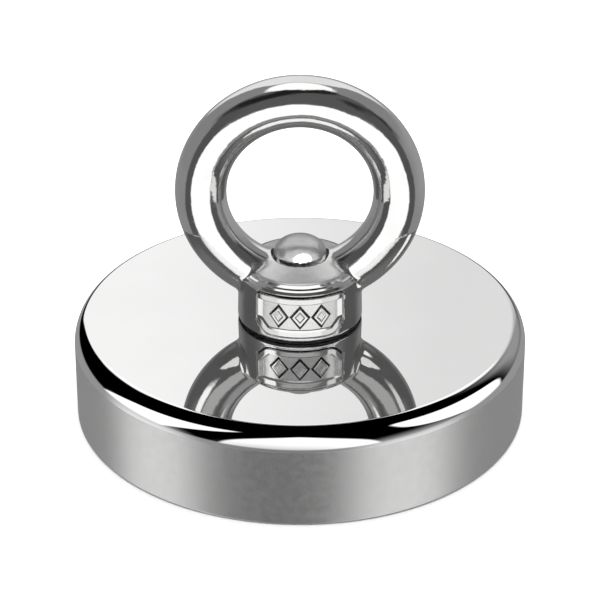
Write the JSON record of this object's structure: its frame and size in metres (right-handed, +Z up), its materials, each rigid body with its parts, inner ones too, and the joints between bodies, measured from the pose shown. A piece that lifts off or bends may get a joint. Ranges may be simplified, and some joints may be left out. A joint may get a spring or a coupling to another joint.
{
  "type": "magnet fishing magnet",
  "caption": "Round pot magnet with a cast eye nut screwed down on its middle, for lifting iron things on a rope.",
  "frame": {"origin": "middle of the magnetic face, which is the pot's underside", "axes": "+Z up the screw to the eye; the eye's ring lies in the XZ plane and its hole runs along Y; the marking panels face -Y and +Y"},
  "size_m": [0.067, 0.067, 0.0534],
  "materials": {
    "nickel_plate": "polished bright nickel plate on steel",
    "magnet_nickel": "dull nickel plate on sintered magnet",
    "pole_steel": "dull nickel plate on turned steel",
    "screw_stainless": "plain stainless",
    "eye_stainless": "cast and polished stainless",
    "resin": "black potting epoxy",
    "bond": "black bonding epoxy",
    "washer_rubber": "black, matt"
  },
  "bodies": {
    "magnet_body": {"steel_pot": "nickel_plate", "ring_magnet": "magnet_nickel", "centre_pole": "pole_steel", "bond_film": "bond", "outer_resin_ring": "resin", "inner_resin_ring": "resin", "countersunk_screw": "screw_stainless"},
    "washer": {"collar_washer": "washer_rubber"},
    "eye": {"eye_nut": "eye_stainless"}
  },
  "joints": [
    {"name": "eye_turn", "type": "hinge", "parent": "magnet_body", "child": "washer", "pos_m": [0, 0, 0.015], "axis": [0, 0, 1], "range_deg": [0, 3240]},
    {"name": "eye_rise", "type": "slide", "parent": "washer", "child": "eye", "axis": [0, 0, 1], "range_m": [0, 0.0113]}
  ],
  "couplings": [
    {"joint": "eye_rise", "follows": "eye_turn", "m_per_rad": 0.00019894}
  ]
}
